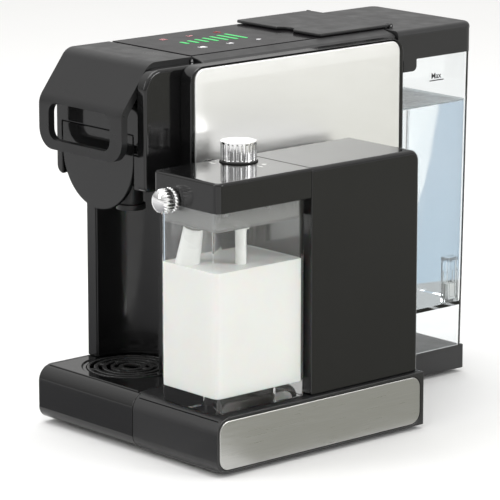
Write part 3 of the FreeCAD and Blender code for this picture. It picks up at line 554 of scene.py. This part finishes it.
tank_low, tank_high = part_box("water_tank")
tank_wall, into_wall = 0.0025, 0.00005
tank_lean = 0.0214
water_foot, water_level = 0.05705, 0.214
inner_corner, water_creep = 0.003, 0.0016
water_back = tank_high.y - tank_wall + into_wall - (tank_high.z - water_foot) * tank_lean
water = liquid(
    "water",
    (tank_low.x + tank_wall - into_wall, tank_low.y + tank_wall - into_wall, water_foot),
    (tank_high.x - tank_wall + into_wall, water_back, water_level),
    inner_corner, water_creep, tank_lean, water_clear, "tank",
)
ripples = Surface("water_top", IOR=1.33, Transmission_Weight=0.35)
ripple_clouds = ripples.speckle(55.0)
ripples.feed(
    "Base Color", ripples.tinted(ripple_clouds, (0.62, 0.69, 0.74), (0.93, 0.95, 0.96)),
)
ripples.feed("Roughness", ripples.between(ripples.speckle(60.0), 0.05, 0.2))
ripples.feed("Normal", ripples.relief(ripples.speckle(70.0), 0.002))
water.data.materials.append(ripples.material)
for face in water.data.polygons:
    if face.normal.z > 0.2:
        face.material_index = 1

# The highest water level is printed on the tank's right wall in thin grey ink.
ink_grey = moulded("ink_grey", (0.02, 0.02, 0.02), 0.7)
ink_thickness = 0.00006
ink_x = tank_high.x + ink_thickness
word = bpy.data.curves.new("level_word", "FONT")
word.body = "Max"
word.size = 0.0062
word.extrude = 0.00003
word.offset = 0.00009
lettering = joined_to_scene(bpy.data.objects.new("level_word", word))
flat_word = lettering.evaluated_get(bpy.context.evaluated_depsgraph_get())
letters = bpy.data.meshes.new_from_object(flat_word)
bpy.data.objects.remove(lettering)
upright = Matrix.Rotation(math.radians(90.0), 4, "Z") @ Matrix.Rotation(math.radians(90.0), 4, "X")
letters.transform(Matrix.Translation((ink_x, 0.1326, 0.2353)) @ upright)
pen = bmesh.new()
pen.from_mesh(letters)
stroke = bmesh.ops.create_cube(pen, size=1.0)["verts"]
bmesh.ops.scale(pen, vec=(ink_thickness, 0.0148, 0.0008), verts=stroke)
bmesh.ops.translate(pen, vec=(ink_x, 0.1384, 0.2338), verts=stroke)
pen.to_mesh(letters)
pen.free()
letters.materials.clear()
letters.materials.append(ink_grey)
level_mark = joined_to_scene(bpy.data.objects.new("level_mark", letters))
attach(level_mark, "tank")

# ---------------------------------------------------------------- milk unit
# A black tower with the frothing pump stands behind a clear milk jug. The jug's gloss lid carries
# the frothing parts and two fluted chrome knobs.
smoke_clear = clear("smoke_clear", (0.62, 0.62, 0.61), 1.46, 0.2, 0.28, waves=0.00001, share=0.88)
white_plastic = moulded("white_plastic", (0.82, 0.82, 0.8), 0.3)
chrome = Surface("chrome", Metallic=1.0)
chrome.feed("Base Color", chrome.tinted(chrome.speckle(40.0), (0.78, 0.78, 0.79), (0.9, 0.9, 0.9)))
chrome.feed("Roughness", chrome.between(chrome.speckle(160.0), 0.06, 0.14))
chrome.feed("Normal", chrome.relief(chrome.speckle(220.0, 2.0), 0.00001))
milk_white = Surface("milk_white", Subsurface_Weight=0.3, Subsurface_Scale=0.004, IOR=1.35)
milk_clouds = milk_white.speckle(20.0)
milk_white.feed(
    "Base Color", milk_white.tinted(milk_clouds, (0.8, 0.8, 0.775), (0.845, 0.845, 0.82)),
)
milk_white.feed("Roughness", milk_white.between(milk_white.speckle(30.0), 0.38, 0.5))
milk_white.feed("Normal", milk_white.relief(milk_white.speckle(25.0, 2.0), 0.00002))
finished(piano_black, "milk_tower", "milk_lid", "milk_dock")
jug_clear = clear("jug_clear", (0.97, 0.98, 0.975), 1.46, 0.01, 0.04, smoked=0.0553)
finished(jug_clear, "milk_jug")
finished(smoke_clear, "lid_insert")
finished(white_plastic, "siphon_tube", "froth_nozzle")
finished(chrome.material, "top_knob", "front_knob")
finished(foot_rubber, "knob_ring")
eased(0.0008, "milk_tower", "milk_lid", turns=3)
eased(0.0005, "milk_jug")
eased(0.0003, "top_knob", "knob_ring", "lid_insert")

# The front knob is turned from one piece: a beaded rim at the lid, then flutes and a domed face.
knob_low, knob_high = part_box("front_knob")
knob_radius = (knob_high.x - knob_low.x) / 2
knob_middle = (knob_low + knob_high) / 2
knob_steps, flutes, flute_depth = 168, 21.0, 0.0013
knob_turns = (
    (0.0143, 0.88, 0.0), (0.0139, 0.97, 0.6), (0.0128, 1.0, 1.0), (0.0116, 0.97, 1.0),
    (0.011, 0.88, 0.6), (0.0102, 0.965, 0.8), (0.0072, 0.985, 0.8), (0.0052, 0.975, 0.7),
    (0.0037, 0.94, 0.4), (0.0023, 0.85, 0.1), (0.0012, 0.69, 0.0), (0.0005, 0.48, 0.0),
    (0.0001, 0.24, 0.0), (0.0, 0.06, 0.0),
)
knob_rings = []
for back, share, flute in knob_turns:
    ring = []
    for step in range(knob_steps):
        turn = 2.0 * math.pi * step / knob_steps
        hollow = flute_depth * flute * (0.5 - 0.5 * math.cos(flutes * turn))
        reach = knob_radius * share - hollow
        x, z = knob_middle.x + reach * math.cos(turn), knob_middle.z + reach * math.sin(turn)
        ring.append((x, knob_low.y + back, z))
    knob_rings.append(ring)
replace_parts(skinned("front_dial", knob_rings, chrome.material, "clean_dial"), "front_knob")

# Small white marks are printed on the lid beside the top knob, for less and for more foam.
print_white = moulded("print_white", (0.72, 0.72, 0.7), 0.5)
lid_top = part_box("milk_lid")[1].z
foam_marks = (
    ("less_foam", (0.0388, -0.1148), bar(0.007, 0.0011)),
    ("more_foam", (0.0704, -0.0977), bar(0.0062, 0.0011)),
    ("most_foam", (0.0669, -0.0908), drop(0.0018)),
)
for name, (x, y), points in foam_marks:
    rings = [[(x + u, y + v, z) for u, v in points] for z in (lid_top - 0.0001, lid_top + 0.00005)]
    skinned(name, rings, print_white, "jug_cover")

jug_low, jug_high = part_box("milk_jug")
jug_inset = 0.002 - into_wall
milk_foot, milk_level, milk_creep, jug_lean = 0.05405, 0.1425, 0.0008, 0.0
liquid(
    "milk",
    (jug_low.x + jug_inset, jug_low.y + jug_inset, milk_foot),
    (jug_high.x - jug_inset, jug_high.y - jug_inset, milk_level),
    inner_corner, milk_creep, jug_lean, milk_white.material, "jug",
)
